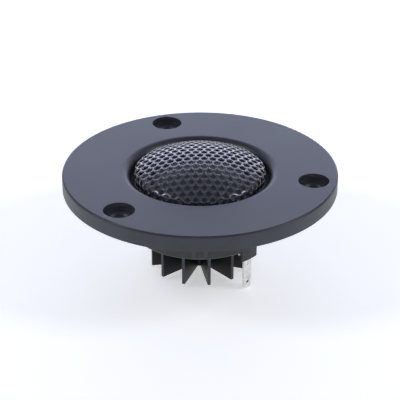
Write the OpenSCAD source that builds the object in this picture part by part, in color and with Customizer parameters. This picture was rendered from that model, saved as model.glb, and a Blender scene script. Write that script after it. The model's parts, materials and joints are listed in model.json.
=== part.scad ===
// Car tweeter: 25 mm dome driver in a round flush-mount faceplate, with a
// finned heatsink and two spade terminals behind it.
// Origin at the centre of the flange's back face, +Z out towards the listener,
// so the flange lies above z = 0 and everything behind the panel lies below it.
// All lengths are in millimetres and all turns in degrees.

/* [Faceplate] */
// Outer diameter of the mounting flange
flange_d = 72; // [68:1:80]
// Thickness of the mounting flange
flange_t = 4.1; // [3.9:0.1:5]
// Rounding round the flange's front edge
flange_edge_r = 0.6; // [0.2:0.1:1]
// Rounding of the lip that rolls into the throat
lip_r = 2.3; // [1.6:0.1:2.3]
// Diameter of the throat at the foot of its lip
throat_d = 36.6; // [36:0.1:37]
// Outer diameter of the collar that goes through the panel
collar_d = 39.6; // [39.4:0.1:41]
// Length of the collar behind the flange
collar_l = 7.5; // [7:0.1:9]

/* [Screw holes] */
// Diameter of the circle on which the three screw holes lie
screw_pcd = 60; // [56:0.5:62]
// Diameter of each screw hole
screw_d = 4.5; // [3.5:0.1:5]
// Diameter of the counterbore over each screw hole
counterbore_d = 8; // [7:0.1:9]
// Depth of the straight part of the counterbore
counterbore_h = 1.5; // [0.8:0.1:1.6]

/* [Grille] */
// Height of the grille's crown above the flange's front face
grille_rise = 4.2; // [3:0.1:5]
// Radius of the grille's dome
grille_dome_r = 38; // [34:1:50]
// Outer radius of the grille's skirt
grille_r = 17.2; // [16.8:0.1:17.4]
// Thickness of the grille's sheet
grille_t = 0.5; // [0.4:0.05:0.6]
// Distance between the centres of neighbouring holes
mesh_pitch = 2.2; // [2.1:0.1:3]
// Width of one hexagonal hole across its flats
mesh_hole = 1.7; // [1.2:0.1:1.8]
// Turn of the rows of holes about the axis
mesh_turn = -17.8; // [-30:0.1:30]

/* [Diaphragm] */
// Inner radius of the voice coil's former
coil_r = 12.7; // [12.6:0.05:12.8]
// Height of the dome above its rim
dome_rise = 4.3; // [3.5:0.1:5]
// Thickness of the dome's fabric
dome_t = 0.25; // [0.2:0.05:0.4]
// Length of the coil's winding
winding_l = 2.6; // [2:0.1:3]

/* [Motor] */
// Outer radius of the yoke cup
yoke_r = 15.5; // [15:0.1:15.6]
// Inner radius of the yoke cup, the outside of the magnetic gap
gap_outer_r = 13.4; // [13.35:0.05:13.5]
// Radius of the pole plate, the inside of the magnetic gap
gap_inner_r = 12.35; // [12.2:0.05:12.4]
// Thickness of the pole plate
pole_t = 2.5; // [2:0.1:3]
// Radius of the magnet
magnet_r = 11.2; // [10:0.1:12]
// Thickness of the magnet
magnet_t = 4.8; // [4:0.1:5]

/* [Rear housing] */
// Outer diameter of the rear housing
chassis_d = 37.6; // [37.4:0.1:37.7]
// Depth of the rear housing's back behind the flange
chassis_depth = 12.4; // [12.2:0.1:13]
// Turn of the rear housing in the faceplate, from square with the screw holes
chassis_turn = -3.4; // [-6:0.1:6]

/* [Heatsink] */
// Number of radial fins
fin_count = 12; // [6:1:16]
// Thickness of each fin
fin_t = 0.8; // [0.6:0.1:1.2]
// Outer radius of the fins
fin_r = 13.1; // [11:0.1:13.6]
// Radius of the heatsink's core
core_r = 3; // [2.4:0.1:5]
// Height of the heatsink
heatsink_h = 11; // [6:0.5:14]
// Turn of the first fin about the axis
fin_turn = 22.8; // [0:0.1:30]

/* [Terminals] */
// Width of each spade terminal's tab
tab_w = 2.8; // [2.8:2:4.8]
// Thickness of each terminal
tab_t = 0.5; // [0.4:0.1:0.5]
// Depth of the terminals' tips behind the flange
tip_depth = 24.2; // [22:0.1:26]

/* [Hidden] */
$fn = 96;
eps = 0.01;      // overshoot of a cutting shape past the face it cuts
far = 60;        // longer than the whole part, for clipping shapes

relief_r = 21.2; // outer radius of the relief in the flange's back
relief_h = 0.3;  // its depth

// The stack inside the collar, from the faceplate's shoulder down
fit_gap = 0.1;                               // clearance of a piece in the collar's bore
collar_bore_r = chassis_d / 2 + fit_gap;
shoulder_z = 1.4;                            // what the grille's foot is trapped under
foot_z = shoulder_z - grille_t;
gasket_t = 0.4;
gasket_z = foot_z - gasket_t;
skin_t = 0.2;                                // fabric of the surround
frame_top_z = gasket_z - skin_t;
motor_top_z = -1.9;                          // front of the yoke and of the pole plate
stack_r = collar_bore_r - fit_gap;

// The grille's bend, between its dome and its skirt
bend_r = 0.9;
dome_z = flange_t + grille_rise - grille_dome_r;
bend_mid_r = grille_r - bend_r;
bend_mid_z = dome_z + sqrt(pow(grille_dome_r - bend_r, 2) - pow(bend_mid_r, 2));

tangent_r = grille_dome_r * bend_mid_r / (grille_dome_r - bend_r);  // where the dome meets the bend
bend_turn = acos(tangent_r / grille_dome_r);
bend_l = bend_r * bend_turn * PI / 180;

// Diaphragm
rim_z = 0.4;                                 // where the dome sits on the former
rim_r = coil_r + 0.2;
dome_r = (rim_r * rim_r + dome_rise * dome_rise) / (2 * dome_rise);
former_t = 0.1;
winding_t = 0.26;
winding_z = motor_top_z - pole_t / 2 - winding_l / 2;
former_z = winding_z - 0.45;
roll_r = 1.49;                               // outer radius of the surround's half roll
roll_gap = 0.02;                             // free edge between the roll and the dome's rim
roll_mid_r = rim_r + roll_gap + roll_r;

// Motor and heatsink
magnet_z = motor_top_z - pole_t - magnet_t;
floor_t = 1.2;                               // floor of the rear housing
back_z = -chassis_depth;
floor_z = back_z + floor_t;
motor_hole_r = 14;                           // opening in the floor for the yoke's back
yoke_back_z = back_z + 0.3;
pad_t = 0.2;
pad_r = 12.9;
fin_top_z = yoke_back_z - pad_t;

// Rear housing, its lugs, its snap windows and its key
wall_in_r = 17.75;
chassis_r = chassis_d / 2;
chassis_chamfer = 0.5;
lug_half = 8;                                // half the angle of a terminal lug
lug_z = back_z - 2.6;
snap_turn = chassis_turn + 2.4;              // middle of the first snap window
snap_half = 8;
hook_half = 6;
window_top_z = -1.4;
hook_top_z = window_top_z - 0.6;
hook_z = -6.7;
hook_r = 19.7;
hook_gap_z = -8.3;                           // bottom of the gap under the hook
key_turn = -48;
key_half = 7.5;
key_rib_w = 1.2;
key_rib_offset = 4.4;
key_r = 20.9;

// Terminals and their wires
tab_in_r = wall_in_r - 0.05 - tab_t;         // inner face of the terminals
ear_half = 3.1;                              // reach of the ears to either side
ear_top_z = back_z - 0.45;
ear_z = lug_z + 0.1;
ear_low_h = 0.5;                             // height of the ear that carries no wire
post_w = 1.6;
post_top_z = -10;
tab_hole_d = 1.3;
tab_hole_z = -22;
wire_turn = 8.5;                             // of the wires, from the terminal they serve
coil_wire_d = 0.25;
tail_wire_d = 0.4;
wire_joint = [16.4, -0.95];                  // radius and height where the two wires join
tail_r = 16.9;
solder_r = 0.75;

// A ring about the axis between two radii and two heights
module ring(r_in, r_out, z_low, z_high) {
    rotate_extrude() translate([r_in, z_low]) square([r_out - r_in, z_high - z_low]);
}

// A stretch of such a ring, half degrees either side of the turn at
module band(r_in, r_out, z_low, z_high, at, half) {
    rotate([0, 0, at - half]) rotate_extrude(angle = 2 * half)
        translate([r_in, z_low]) square([r_out - r_in, z_high - z_low]);
}

// A block that stands out radially at the turn at, w wide
module radial_block(r_in, r_out, z_low, z_high, at, w) {
    rotate([0, 0, at]) translate([r_in, -w / 2, z_low]) cube([r_out - r_in, w, z_high - z_low]);
}

// A wire of diameter d along points that lie near a plane of constant y
function unit(v) = v / norm(v);
function heading(points, i) =
    unit(points[min(i + 1, len(points) - 1)] - points[max(i - 1, 0)]);
function wire_ring(points, i, d, sides) =
    let (t = heading(points, i), u = unit([0, 1, 0] - t.y * t), v = cross(t, u))
    [for (k = [0 : sides - 1]) points[i] + d / 2 * (u * cos(360 * k / sides) + v * sin(360 * k / sides))];
module wire(points, d) {
    sides = 10;
    last = len(points) - 1;
    polyhedron(
        points = [for (i = [0 : last]) each wire_ring(points, i, d, sides)],
        faces = concat(
            [[for (k = [0 : sides - 1]) k]],
            [for (i = [0 : last - 1], k = [0 : sides - 1])
                let (a = i * sides + k, b = i * sides + (k + 1) % sides) [a, a + sides, b + sides, b]],
            [[for (k = [sides - 1 : -1 : 0]) last * sides + k]]
        )
    );
}

// A corner of a wire's route, rounded into a few points between a and c
function bend(a, b, c) = [for (t = [0 : 0.25 : 1]) a * pow(1 - t, 2) + b * 2 * t * (1 - t) + c * pow(t, 2)];

module screw_hole(at) {
    seat_z = flange_t - counterbore_h;
    step_d = counterbore_d - 0.9;
    step_z = seat_z - 0.6;
    sink_d = step_d - 0.8;
    sink_h = (sink_d - screw_d) / 2;
    rotate([0, 0, at]) translate([screw_pcd / 2, 0, 0]) {
        translate([0, 0, -eps]) cylinder(h = flange_t + 1, d = screw_d);
        translate([0, 0, seat_z]) cylinder(h = flange_t, d = counterbore_d);
        translate([0, 0, step_z]) cylinder(h = flange_t, d = step_d);
        translate([0, 0, step_z - sink_h]) cylinder(h = sink_h + eps, d1 = screw_d, d2 = sink_d);
    }
}

// Half section of the flange, its rolled lip and the collar. A shallow relief
// round the collar clears the edge of the panel's hole.
module faceplate_section() {
    throat_r = throat_d / 2;
    flange_r = flange_d / 2;
    edge = flange_edge_r;
    lip_mid = [throat_r + lip_r, flange_t - lip_r];
    translate([lip_mid.x, shoulder_z]) square([flange_r - edge - lip_mid.x, flange_t - shoulder_z]);
    translate([lip_mid.x, shoulder_z]) square([flange_r - lip_mid.x, flange_t - edge - shoulder_z]);
    translate([flange_r - edge, flange_t - edge]) circle(edge);
    translate([throat_r, shoulder_z]) square([lip_r, lip_mid.y - shoulder_z]);
    intersection() {
        translate(lip_mid) circle(lip_r);
        translate([throat_r, lip_mid.y]) square([lip_r, lip_r]);
    }
    translate([collar_bore_r, relief_h]) square([flange_r - collar_bore_r, shoulder_z - relief_h]);
    translate([relief_r, 0]) square([flange_r - relief_r, shoulder_z]);
    translate([collar_bore_r, -collar_l]) square([collar_d / 2 - collar_bore_r, collar_l + shoulder_z]);
}

module faceplate() {
    slit_at = -19.5;
    panel_depth = 0.35;
    panel_z = -collar_l + 0.3;
    color([0.36, 0.38, 0.42]) difference() {
        rotate_extrude() faceplate_section();
        for (at = [-90, 30, 150]) screw_hole(at);
        for (side = [0, 180]) {
            band(collar_bore_r - 1, far / 2, -collar_l - 1, window_top_z, snap_turn + side, snap_half);
            radial_block(collar_bore_r - 1, far / 2, -collar_l - 1, window_top_z + 0.6,
                         snap_turn + slit_at + side, 0.8);
            band(collar_d / 2 - panel_depth, far / 2, panel_z, -1.2, snap_turn + 20 + side, 8.7);
            band(collar_d / 2 - panel_depth, far / 2, panel_z, -1.2, snap_turn + 111 + side, 15);
        }
        band(collar_bore_r - 1, far / 2, -collar_l - 1, window_top_z, key_turn, key_half);
    }
}

// Outline of the grille's formed sheet, inset by d from its outer surface
module grille_outline(d) {
    intersection() {
        translate([0, dome_z]) circle(grille_dome_r - d, $fn = 360);
        translate([0, bend_mid_z]) square([tangent_r, far]);
    }
    intersection() {
        translate([bend_mid_r, bend_mid_z]) circle(bend_r - d);
        translate([0, bend_mid_z]) square(far);
    }
    translate([0, foot_z - eps]) square([grille_r - d, bend_mid_z - foot_z + 2 * eps]);
}

// Where a point at distance out on the flat sheet lands when the grille is pressed:
// its radius, its height, and how far the sheet leans there
function pressed(out) =
    let (past = out - tangent_r, left = bend_turn - past / bend_r * 180 / PI)
    past < 0 ? [out, dome_z + sqrt(pow(grille_dome_r, 2) - pow(out, 2)), asin(out / grille_dome_r)]
    : left > 0 ? [bend_mid_r + bend_r * cos(left), bend_mid_z + bend_r * sin(left), 90 - left]
    : [grille_r, bend_mid_z - (past - bend_l), 90];

// One hole of the mesh, whose centre is at hole on the flat sheet
module mesh_hole_at(hole) {
    out = norm(hole);
    turn = atan2(hole.y, hole.x);
    landed = pressed(out);
    rotate([0, 0, turn]) translate([landed[0], 0, landed[1]]) rotate([0, landed[2], 0]) rotate([0, 0, 30 - turn])
        cylinder(h = 4 * grille_t, d = mesh_hole / cos(30), center = true, $fn = 6);
}

module grille() {
    rows = ceil(grille_r / mesh_pitch) + 2;
    last_hole_r = tangent_r + bend_l + bend_mid_z - shoulder_z - 1.2;  // leaves a plain band above the foot
    color([0.2, 0.21, 0.24]) {
        difference() {
            rotate_extrude() difference() {
                grille_outline(0);
                grille_outline(grille_t);
                translate([0, -far + foot_z]) square(far);
            }
            rotate([0, 0, mesh_turn]) for (i = [-rows : rows], j = [-rows : rows]) {
                hole = mesh_pitch * [i + j / 2, j * sqrt(3) / 2];
                if (norm(hole) < last_hole_r) mesh_hole_at(hole);
            }
        }
        ring(grille_r - grille_t, stack_r, foot_z, shoulder_z);
    }
}

module gasket() {
    color([0.12, 0.12, 0.12]) ring(16.2, stack_r, gasket_z, foot_z);
}

module surround() {
    color([0.13, 0.13, 0.14]) rotate_extrude() {
        intersection() {
            difference() {
                translate([roll_mid_r, rim_z]) circle(roll_r);
                translate([roll_mid_r, rim_z]) circle(roll_r - skin_t);
            }
            translate([rim_r, rim_z]) square([far, far]);
        }
        translate([roll_mid_r + roll_r - skin_t, frame_top_z])
            square([stack_r - roll_mid_r - roll_r + skin_t, skin_t]);
    }
}

module dome() {
    color([0.1, 0.1, 0.11]) rotate_extrude() intersection() {
        translate([0, rim_z + dome_rise - dome_r]) difference() {
            circle(dome_r, $fn = 360);
            circle(dome_r - dome_t, $fn = 360);
        }
        translate([0, rim_z]) square([rim_r, far]);
    }
}

module voice_coil_former() {
    color([0.75, 0.72, 0.6]) ring(coil_r, coil_r + former_t, former_z, rim_z);
}

module voice_coil_winding() {
    color([0.7, 0.35, 0.15])
        ring(coil_r + former_t, coil_r + former_t + winding_t, winding_z, winding_z + winding_l);
}

// The fine flexing wire from the voice coil out to the frame
module coil_lead(side) {
    start_r = coil_r + former_t + coil_wire_d / 2 + roll_gap;
    color([0.7, 0.35, 0.15]) rotate([0, 0, chassis_turn + wire_turn + side])
        wire(concat(bend([start_r, 0, -1.4], [start_r, 0, -0.95], [start_r + 0.7, 0, -0.95]),
                    [[wire_joint.x - coil_wire_d, 0, wire_joint.y]]), coil_wire_d);
}
module coil_lead_positive() { coil_lead(0); }
module coil_lead_negative() { coil_lead(180); }

module diaphragm_frame() {
    ledge_r = 14.2;
    color([0.16, 0.16, 0.17]) difference() {
        union() {
            ring(16, stack_r, motor_top_z, frame_top_z);
            ring(ledge_r, 16 + eps, motor_top_z, motor_top_z + 0.5);
        }
        for (side = [0, 180])
            radial_block(ledge_r - 1, tail_r + 0.45, motor_top_z - 1, -0.55, chassis_turn + wire_turn + side, 1.2);
    }
}

module damping_felt() {
    color([0.45, 0.44, 0.42]) ring(0, 10.5, motor_top_z, motor_top_z + 1.5);
}

module pole_plate() {
    color([0.6, 0.6, 0.62]) ring(0, gap_inner_r, motor_top_z - pole_t, motor_top_z);
}

module magnet() {
    color([0.72, 0.72, 0.74]) ring(0, magnet_r, magnet_z, magnet_z + magnet_t);
}

module yoke_cup() {
    color([0.55, 0.56, 0.58]) {
        ring(0, motor_hole_r - fit_gap, yoke_back_z, floor_z + eps);
        ring(0, yoke_r, floor_z, magnet_z);
        ring(gap_outer_r, yoke_r, magnet_z - eps, motor_top_z);
    }
}

// Half section of the rear housing's wall and floor
module chassis_section() {
    translate([wall_in_r, floor_z - eps]) square([chassis_r - wall_in_r, motor_top_z - floor_z + eps]);
    polygon([
        [motor_hole_r, back_z],
        [chassis_r - chassis_chamfer, back_z],
        [chassis_r, back_z + chassis_chamfer],
        [chassis_r, floor_z],
        [motor_hole_r, floor_z]
    ]);
}

// Side of one rib of the key: proud of the collar above, tapering down the housing
module key_rib(at) {
    rotate([0, 0, at]) rotate([90, 0, 0]) translate([0, 0, -key_rib_w / 2])
        linear_extrude(height = key_rib_w) {
            polygon([
                [chassis_r - 0.5, hook_top_z],
                [key_r, hook_top_z],
                [key_r, -7.4],
                [key_r - 0.25, -8.4],
                [key_r - 1.3, -9.6],
                [chassis_r + 0.4, -11.6],
                [chassis_r - 0.5, back_z + chassis_chamfer]
            ]);
        }
}

module chassis() {
    color([0.2, 0.21, 0.23]) difference() {
        union() {
            rotate_extrude() chassis_section();
            for (side = [0, 180]) {
                band(wall_in_r, chassis_r - 0.05, lug_z, back_z + floor_t / 2, chassis_turn - 0.6 + side, lug_half);
                band(wall_in_r + 0.2, hook_r, hook_z, hook_top_z, snap_turn + side, hook_half);
            }
            for (turn = [-key_rib_offset, key_rib_offset]) key_rib(key_turn + turn);
            band(wall_in_r + 0.2, chassis_r + 0.3, back_z + 0.9, hook_top_z, key_turn, key_half - 2);
            band(wall_in_r + 0.2, chassis_r + 0.35, -9.8, -8, 41.3, 6.2);
            radial_block(wall_in_r + 0.2, chassis_r + 0.3, back_z + 0.3, -10.1, 46.3, 0.6);
            radial_block(wall_in_r + 0.2, chassis_r + 0.2, back_z + 0.6, -8, 84.5, 1.7);
        }
        for (side = [0, 180]) {
            band(wall_in_r - 1, far / 2, hook_gap_z, hook_z, snap_turn + side, snap_half);
            radial_block(tab_in_r - 0.1, wall_in_r, lug_z - eps, ear_top_z + 0.3, chassis_turn + side,
                         2 * ear_half + 0.4);
            radial_block(tab_in_r - 0.1, wall_in_r + 0.05, back_z - eps, floor_z + eps,
                         chassis_turn + side, post_w + 0.2);
            radial_block(tail_r - 0.5, tail_r + 0.5, back_z - eps, floor_z + eps,
                         chassis_turn + wire_turn + side, 1.2);
        }
        radial_block(chassis_r - 0.8, far / 2, back_z - eps, -7.2, 90.3, 1.2);
    }
}

module thermal_pad() {
    color([0.8, 0.8, 0.82]) ring(0, pad_r, fin_top_z, yoke_back_z);
}

module heatsink() {
    color([0.07, 0.07, 0.08]) translate([0, 0, fin_top_z - heatsink_h]) {
        cylinder(h = heatsink_h, r = core_r);
        for (i = [0 : fin_count - 1]) rotate([0, 0, fin_turn + i * 360 / fin_count])
            translate([core_r / 2, -fin_t / 2, 0]) cube([fin_r - core_r / 2, fin_t, heatsink_h]);
    }
}

// Flat outline of a terminal: tab below, a low ear and the wire's ear across the
// lug, post up through the floor
module terminal_outline() {
    tip = 0.7;
    difference() {
        union() {
            polygon([
                [-tab_w / 2, ear_z + eps], [-tab_w / 2, tip - tip_depth], [tip - tab_w / 2, -tip_depth],
                [tab_w / 2 - tip, -tip_depth], [tab_w / 2, tip - tip_depth], [tab_w / 2, ear_z + eps]
            ]);
            translate([-tab_w / 2, ear_z]) square([ear_half + tab_w / 2, ear_top_z - ear_z]);
            translate([-ear_half, ear_top_z - ear_low_h]) square([ear_half, ear_low_h]);
            translate([-post_w / 2, ear_top_z - eps]) square([post_w, post_top_z - ear_top_z + eps]);
        }
        translate([0, tab_hole_z]) circle(d = tab_hole_d);
    }
}

module terminal(side) {
    dimple_d = 0.7;
    color([0.8, 0.8, 0.78]) rotate([0, 0, chassis_turn + side]) difference() {
        translate([tab_in_r, 0, 0]) rotate([90, 0, 90]) linear_extrude(height = tab_t) terminal_outline();
        for (z = [-16.9, -16.4, -15.9]) translate([tab_in_r + tab_t - 0.15, 0, z]) rotate([0, 90, 0])
            cylinder(h = 1, d = dimple_d);
    }
}
module terminal_positive() { terminal(0); }
module terminal_negative() { terminal(180); }

// The wire from the frame down past the motor, out through the floor and to the ear
module tail_lead(side) {
    x = tail_r * cos(wire_turn);
    y = tail_r * sin(wire_turn);
    ear_mid_z = (ear_z + ear_top_z) / 2;
    joint = [wire_joint.x * cos(wire_turn), wire_joint.x * sin(wire_turn), wire_joint.y];
    color([0.75, 0.6, 0.3]) rotate([0, 0, chassis_turn + side])
        wire(concat(bend(joint, [x, y, wire_joint.y], [x, y, wire_joint.y - 0.8]),
                    bend([x, y, back_z], [x, y, back_z - 1], [tab_in_r - tail_wire_d / 2, ear_half - 0.7, ear_mid_z])),
             tail_wire_d);
}
module tail_lead_positive() { tail_lead(0); }
module tail_lead_negative() { tail_lead(180); }

module solder_joint(side) {
    ear_mid_z = (ear_z + ear_top_z) / 2;
    color([0.85, 0.85, 0.86]) rotate([0, 0, chassis_turn + side]) intersection() {
        translate([tab_in_r - 0.1, ear_half - 0.7, ear_mid_z]) sphere(solder_r);
        translate([tab_in_r - 2, -far / 2, -far]) cube([2, far, far]);
    }
}
module solder_joint_positive() { solder_joint(0); }
module solder_joint_negative() { solder_joint(180); }

faceplate();
grille();
gasket();
surround();
dome();
voice_coil_former();
voice_coil_winding();
coil_lead_positive();
coil_lead_negative();
diaphragm_frame();
damping_felt();
pole_plate();
magnet();
yoke_cup();
chassis();
thermal_pad();
heatsink();
terminal_positive();
terminal_negative();
tail_lead_positive();
tail_lead_negative();
solder_joint_positive();
solder_joint_negative();
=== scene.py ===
"""The looks of a flush-mount car tweeter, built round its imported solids."""

import json
import math

import bmesh
import bpy
from mathutils import Matrix, Vector
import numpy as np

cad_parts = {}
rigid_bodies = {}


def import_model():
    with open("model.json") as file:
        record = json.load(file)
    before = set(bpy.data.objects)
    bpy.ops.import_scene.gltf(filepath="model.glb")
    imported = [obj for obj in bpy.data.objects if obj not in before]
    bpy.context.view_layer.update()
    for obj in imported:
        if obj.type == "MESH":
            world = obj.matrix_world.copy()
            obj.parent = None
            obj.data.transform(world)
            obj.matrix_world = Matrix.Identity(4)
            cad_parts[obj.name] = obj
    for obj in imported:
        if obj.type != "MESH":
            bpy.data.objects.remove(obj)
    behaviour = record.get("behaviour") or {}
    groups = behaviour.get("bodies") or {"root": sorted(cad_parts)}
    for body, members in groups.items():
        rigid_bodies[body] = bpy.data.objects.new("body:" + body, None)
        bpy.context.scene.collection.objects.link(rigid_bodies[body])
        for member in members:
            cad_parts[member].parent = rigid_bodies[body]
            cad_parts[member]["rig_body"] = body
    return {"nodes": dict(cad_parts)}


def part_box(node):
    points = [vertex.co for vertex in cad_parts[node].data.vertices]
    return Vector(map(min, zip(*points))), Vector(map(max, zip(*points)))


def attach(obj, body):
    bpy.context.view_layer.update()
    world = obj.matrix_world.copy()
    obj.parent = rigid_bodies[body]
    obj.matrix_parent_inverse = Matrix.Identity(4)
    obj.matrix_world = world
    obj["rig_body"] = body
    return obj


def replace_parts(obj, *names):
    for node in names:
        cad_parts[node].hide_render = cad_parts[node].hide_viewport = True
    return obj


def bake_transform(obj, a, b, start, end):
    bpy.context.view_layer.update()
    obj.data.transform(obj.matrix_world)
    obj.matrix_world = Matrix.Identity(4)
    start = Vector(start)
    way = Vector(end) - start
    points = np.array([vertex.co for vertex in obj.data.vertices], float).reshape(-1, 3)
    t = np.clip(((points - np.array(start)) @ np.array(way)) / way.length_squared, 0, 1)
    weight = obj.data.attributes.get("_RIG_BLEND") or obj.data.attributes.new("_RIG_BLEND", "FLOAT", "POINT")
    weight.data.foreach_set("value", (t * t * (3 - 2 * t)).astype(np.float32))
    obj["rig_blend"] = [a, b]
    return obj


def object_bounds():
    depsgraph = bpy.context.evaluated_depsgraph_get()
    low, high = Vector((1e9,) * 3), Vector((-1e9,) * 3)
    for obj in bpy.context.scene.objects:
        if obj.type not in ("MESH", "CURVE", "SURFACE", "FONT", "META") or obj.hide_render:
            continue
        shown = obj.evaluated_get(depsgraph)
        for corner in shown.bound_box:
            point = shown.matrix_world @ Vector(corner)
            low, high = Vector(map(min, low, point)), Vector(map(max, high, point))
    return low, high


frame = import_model()
CAD_LOW, CAD_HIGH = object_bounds()

bl_info = {
    "name": "Car tweeter",
    "version": (1, 0, 0),
    "blender": (4, 5, 0),
    "location": "View3D > Sidebar > Tweeter",
    "description": "Builds the looks of a flush-mount car tweeter round its packed solids",
    "category": "Object",
}

MM = 0.001
WELD = 1e-6  # points of one solid that lie this near each other are one
ROUND_SIDES = 96  # sides of a turned piece, unless it asks for another number
TRUE_EDGE = math.radians(60)  # a hard solid's edges turn more than this, its facets less
HOUSING = "housing"
DIAPHRAGM = "diaphragm"

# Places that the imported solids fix, in metres.
RIM_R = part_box("dome")[1].x
RIM_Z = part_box("dome")[0].z
APEX_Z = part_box("dome")[1].z
STACK_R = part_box("diaphragm_frame")[1].x
ROLL_TOP_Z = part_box("surround")[1].z

# Turns about the axis, in degrees. The two sides are alike, half a turn apart.
CHASSIS_TURN = -3.4
LEAD_TURN = CHASSIS_TURN + 8.5
SIDES = {"positive": 0, "negative": 180}

# The grille.
MESH_CELLS = 23  # cells each way in the sheet, before it is trimmed round
BAND = 0.15 * MM  # height of the plain band under the holes
FOOT_EDGE = 0.1 * MM  # width of the foot's eased edges
SHADED_FOOT_R = (17.22 * MM, 17.3 * MM)  # where the painted shade over the foot begins, and where it is full

# The soft pieces.
CORNER_SHARE = 0.35  # radius of their rounded corners, as a share of their thickness
GASKET_BORE_R = 16.2 * MM
FLAT_PART = (0.75, 0.45, 0.15)  # rings across a disc's flat faces, as shares of its radius

# The wires, point by point: radius, sideways and height, in millimetres.
LEAD_WIRE = 0.25 * MM
LEAD_ROUTE = (
    (12.945, 0, -1.4),
    (12.97, 0, -1.17),
    (13.12, 0, -1.0),
    (13.65, 0, -0.95),
    (14.4, 0, -0.93),
    (15.3, 0, -0.94),
    (16.42, 0, -0.95),
)
LEAD_STILL = (15.8, 0, -0.95)  # from here outwards a lead stays with the housing
LEAD_MOVING = (13.1, 0, -0.95)  # from here inwards it goes with the coil
TAIL_WIRE = 0.4 * MM
TAIL_ROUTE = (
    (16.22, 2.42, -0.95),
    (16.5, 2.46, -1.0),
    (16.68, 2.49, -1.25),
    (16.71, 2.5, -1.75),
    (16.71, 2.5, -5.0),
    (16.71, 2.5, -9.0),
    (16.71, 2.5, -12.4),
    (16.76, 2.49, -12.9),
    (16.86, 2.46, -13.45),
    (17.0, 2.4, -14.1),
)

# The solder drop's side, from its hanging end up: radius and height, as shares of its half height.
SOLDER_OUTLINE = (
    (0.34, -0.95),
    (0.66, -0.76),
    (0.88, -0.45),
    (0.97, -0.1),
    (0.9, 0.2),
    (0.72, 0.45),
    (0.52, 0.65),
    (0.38, 0.82),
    (0.29, 0.96),
)

# The studio. Lengths are in metres, angles in degrees, and colours are linear.
FLOOR_SIZE = 6.0
FLOOR_GAP = 0.05 * MM
WALL_R, WALL_HEIGHT = 2.95, 0.7
SKY_COLOUR = (0.74, 0.79, 1.0)
LIGHT_DISTANCE = 0.5
BACK_LIGHT = {"height": 22, "size": (0.55, 0.3), "colour": (0.68, 0.74, 1.0)}
SIDE_LIGHT = {"height": 38, "size": (0.15, 0.15), "colour": (0.88, 0.91, 1.0)}
SIDE_LIGHT_TURN = 78  # between the camera and each side light
CROWN_TO_PLATE = 4.2 * MM  # from the grille's crown down to the faceplate's front
PLATE_TO_AIM = 9.0 * MM  # from there down to the point the camera is turned to


# ---------------------------------------------------------------- finishes


class Signal:
    """A number, colour or vector in a finish's nodes, which takes Python's arithmetic signs."""

    def __init__(self, finish, socket):
        self.finish = finish
        self.socket = socket

    def maths(self, operation, *values, clamp=False):
        settings = {"operation": operation, "use_clamp": clamp}
        return self.finish.node("ShaderNodeMath", settings, dict(enumerate(values)))

    def __add__(self, other):
        return self.maths("ADD", self, other)

    def __radd__(self, other):
        return self.maths("ADD", other, self)

    def __sub__(self, other):
        return self.maths("SUBTRACT", self, other)

    def __rsub__(self, other):
        return self.maths("SUBTRACT", other, self)

    def __mul__(self, other):
        return self.maths("MULTIPLY", self, other)

    def __rmul__(self, other):
        return self.maths("MULTIPLY", other, self)

    def __pow__(self, other):
        return self.maths("POWER", self, other)

    def sine(self):
        return self.maths("SINE", self)

    def clamped(self):
        return self.maths("ADD", self, 0.0, clamp=True)

    def step(self, low, high):
        """0 below low, 1 above high, and a smooth rise between them."""
        settings = {"interpolation_type": "SMOOTHSTEP"}
        inputs = {"Value": self, "From Min": low, "From Max": high}
        return self.finish.node("ShaderNodeMapRange", settings, inputs)


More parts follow.
